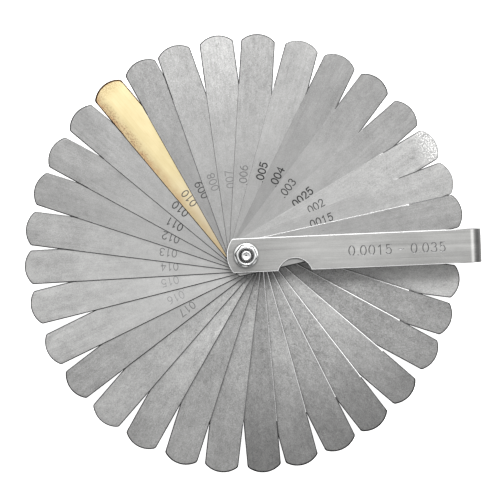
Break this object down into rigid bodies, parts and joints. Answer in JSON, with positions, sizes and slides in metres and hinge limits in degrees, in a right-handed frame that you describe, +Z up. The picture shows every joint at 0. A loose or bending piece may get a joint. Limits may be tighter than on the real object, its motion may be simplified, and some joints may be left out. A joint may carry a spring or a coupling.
{
  "type": "feeler gauge",
  "caption": "Leaf feeler gauge: thin steel measuring blades, one of them brass, fanned on a bolt through a folded sheet-steel holder that they close into.",
  "frame": {"origin": "centre of the bolt head's flat outer face, on the pivot axis", "axes": "+Z up the pivot axis towards the nut, +X along the holder to its closed end, +Y completes the right-handed frame; the gauge lies flat"},
  "size_m": [0.171, 0.1647, 0.0223],
  "materials": {
    "holder_steel": "brushed sheet steel, light grain along the strip, bright cut edges",
    "leaf_steel": "hardened spring steel, fine matte roll grain, oil-dulled, sizes etched in dark figures",
    "leaf_brass": "pale rolled brass, slightly tarnished along one edge",
    "zinc_plate": "bright zinc plating"
  },
  "bodies": {
    "holder": {"holder": "holder_steel", "pivot_bolt": "zinc_plate"},
    "nut": {"flange_nut": "zinc_plate"},
    "leaf_035": {"blade_035": "leaf_steel"},
    "leaf_0015": {"blade_0015": "leaf_steel"},
    "leaf_002": {"blade_002": "leaf_steel"},
    "leaf_0025": {"blade_0025": "leaf_steel"},
    "leaf_003": {"blade_003": "leaf_steel"},
    "leaf_004": {"blade_004": "leaf_steel"},
    "leaf_005": {"blade_005": "leaf_steel"},
    "leaf_006": {"blade_006": "leaf_steel"},
    "leaf_007": {"blade_007": "leaf_steel"},
    "leaf_008": {"blade_008": "leaf_steel"},
    "leaf_009": {"blade_009": "leaf_steel"},
    "leaf_010_brass": {"blade_010_brass": "leaf_brass"},
    "leaf_010_steel": {"blade_010_steel": "leaf_steel"},
    "leaf_011": {"blade_011": "leaf_steel"},
    "leaf_012": {"blade_012": "leaf_steel"},
    "leaf_013": {"blade_013": "leaf_steel"},
    "leaf_014": {"blade_014": "leaf_steel"},
    "leaf_015": {"blade_015": "leaf_steel"},
    "leaf_016": {"blade_016": "leaf_steel"},
    "leaf_017": {"blade_017": "leaf_steel"},
    "leaf_018": {"blade_018": "leaf_steel"},
    "leaf_019": {"blade_019": "leaf_steel"},
    "leaf_020": {"blade_020": "leaf_steel"},
    "leaf_021": {"blade_021": "leaf_steel"},
    "leaf_022": {"blade_022": "leaf_steel"},
    "leaf_023": {"blade_023": "leaf_steel"},
    "leaf_024": {"blade_024": "leaf_steel"},
    "leaf_025": {"blade_025": "leaf_steel"},
    "leaf_026": {"blade_026": "leaf_steel"},
    "leaf_028": {"blade_028": "leaf_steel"},
    "leaf_030": {"blade_030": "leaf_steel"},
    "leaf_032": {"blade_032": "leaf_steel"}
  },
  "joints": [
    {"name": "nut_turn", "type": "hinge", "parent": "holder", "child": "nut", "pos_m": [0, 0, 0.0199], "axis": [0, 0, 1], "range_deg": [0, 360]},
    {"name": "swing_035", "type": "hinge", "parent": "holder", "child": "leaf_035", "pos_m": [0, 0, 0.01644], "axis": [0, 0, 1], "range_deg": [-10.2, 349.8]},
    {"name": "swing_0015", "type": "hinge", "parent": "holder", "child": "leaf_0015", "pos_m": [0, 0, 0.01595], "axis": [0, 0, 1], "range_deg": [-18.7, 341.3]},
    {"name": "swing_002", "type": "hinge", "parent": "holder", "child": "leaf_002", "pos_m": [0, 0, 0.01589], "axis": [0, 0, 1], "range_deg": [-28.7, 331.3]},
    {"name": "swing_0025", "type": "hinge", "parent": "holder", "child": "leaf_0025", "pos_m": [0, 0, 0.01581], "axis": [0, 0, 1], "range_deg": [-39.1, 320.9]},
    {"name": "swing_003", "type": "hinge", "parent": "holder", "child": "leaf_003", "pos_m": [0, 0, 0.01572], "axis": [0, 0, 1], "range_deg": [-50.6, 309.4]},
    {"name": "swing_004", "type": "hinge", "parent": "holder", "child": "leaf_004", "pos_m": [0, 0, 0.01561], "axis": [0, 0, 1], "range_deg": [-61.6, 298.4]},
    {"name": "swing_005", "type": "hinge", "parent": "holder", "child": "leaf_005", "pos_m": [0, 0, 0.01548], "axis": [0, 0, 1], "range_deg": [-72.5, 287.5]},
    {"name": "swing_006", "type": "hinge", "parent": "holder", "child": "leaf_006", "pos_m": [0, 0, 0.01532], "axis": [0, 0, 1], "range_deg": [-84.3, 275.7]},
    {"name": "swing_007", "type": "hinge", "parent": "holder", "child": "leaf_007", "pos_m": [0, 0, 0.01513], "axis": [0, 0, 1], "range_deg": [-95.5, 264.5]},
    {"name": "swing_008", "type": "hinge", "parent": "holder", "child": "leaf_008", "pos_m": [0, 0, 0.01492], "axis": [0, 0, 1], "range_deg": [-107.2, 252.8]},
    {"name": "swing_009", "type": "hinge", "parent": "holder", "child": "leaf_009", "pos_m": [0, 0, 0.01469], "axis": [0, 0, 1], "range_deg": [-117, 243]},
    {"name": "swing_010_brass", "type": "hinge", "parent": "holder", "child": "leaf_010_brass", "pos_m": [0, 0, 0.01443], "axis": [0, 0, 1], "range_deg": [-127.5, 232.5]},
    {"name": "swing_010_steel", "type": "hinge", "parent": "holder", "child": "leaf_010_steel", "pos_m": [0, 0, 0.01415], "axis": [0, 0, 1], "range_deg": [-137.8, 222.2]},
    {"name": "swing_011", "type": "hinge", "parent": "holder", "child": "leaf_011", "pos_m": [0, 0, 0.01387], "axis": [0, 0, 1], "range_deg": [-148.9, 211.1]},
    {"name": "swing_012", "type": "hinge", "parent": "holder", "child": "leaf_012", "pos_m": [0, 0, 0.01355], "axis": [0, 0, 1], "range_deg": [-159.5, 200.5]},
    {"name": "swing_013", "type": "hinge", "parent": "holder", "child": "leaf_013", "pos_m": [0, 0, 0.01321], "axis": [0, 0, 1], "range_deg": [-170.4, 189.6]},
    {"name": "swing_014", "type": "hinge", "parent": "holder", "child": "leaf_014", "pos_m": [0, 0, 0.01285], "axis": [0, 0, 1], "range_deg": [-180.8, 179.2]},
    {"name": "swing_015", "type": "hinge", "parent": "holder", "child": "leaf_015", "pos_m": [0, 0, 0.01246], "axis": [0, 0, 1], "range_deg": [-191.7, 168.3]},
    {"name": "swing_016", "type": "hinge", "parent": "holder", "child": "leaf_016", "pos_m": [0, 0, 0.01205], "axis": [0, 0, 1], "range_deg": [-203.7, 156.3]},
    {"name": "swing_017", "type": "hinge", "parent": "holder", "child": "leaf_017", "pos_m": [0, 0, 0.01161], "axis": [0, 0, 1], "range_deg": [-215, 145]},
    {"name": "swing_018", "type": "hinge", "parent": "holder", "child": "leaf_018", "pos_m": [0, 0, 0.01115], "axis": [0, 0, 1], "range_deg": [-226.6, 133.4]},
    {"name": "swing_019", "type": "hinge", "parent": "holder", "child": "leaf_019", "pos_m": [0, 0, 0.01066], "axis": [0, 0, 1], "range_deg": [-238.1, 121.9]},
    {"name": "swing_020", "type": "hinge", "parent": "holder", "child": "leaf_020", "pos_m": [0, 0, 0.01014], "axis": [0, 0, 1], "range_deg": [-249.9, 110.1]},
    {"name": "swing_021", "type": "hinge", "parent": "holder", "child": "leaf_021", "pos_m": [0, 0, 0.0096], "axis": [0, 0, 1], "range_deg": [-261.1, 98.9]},
    {"name": "swing_022", "type": "hinge", "parent": "holder", "child": "leaf_022", "pos_m": [0, 0, 0.00903], "axis": [0, 0, 1], "range_deg": [-272.7, 87.3]},
    {"name": "swing_023", "type": "hinge", "parent": "holder", "child": "leaf_023", "pos_m": [0, 0, 0.00844], "axis": [0, 0, 1], "range_deg": [-283.1, 76.9]},
    {"name": "swing_024", "type": "hinge", "parent": "holder", "child": "leaf_024", "pos_m": [0, 0, 0.00783], "axis": [0, 0, 1], "range_deg": [-294.4, 65.6]},
    {"name": "swing_025", "type": "hinge", "parent": "holder", "child": "leaf_025", "pos_m": [0, 0, 0.00718], "axis": [0, 0, 1], "range_deg": [-305.4, 54.6]},
    {"name": "swing_026", "type": "hinge", "parent": "holder", "child": "leaf_026", "pos_m": [0, 0, 0.00652], "axis": [0, 0, 1], "range_deg": [-317, 43]},
    {"name": "swing_028", "type": "hinge", "parent": "holder", "child": "leaf_028", "pos_m": [0, 0, 0.00581], "axis": [0, 0, 1], "range_deg": [-329, 31]},
    {"name": "swing_030", "type": "hinge", "parent": "holder", "child": "leaf_030", "pos_m": [0, 0, 0.00505], "axis": [0, 0, 1], "range_deg": [-339.7, 20.3]},
    {"name": "swing_032", "type": "hinge", "parent": "holder", "child": "leaf_032", "pos_m": [0, 0, 0.00425], "axis": [0, 0, 1], "range_deg": [-350.2, 9.8]}
  ]
}
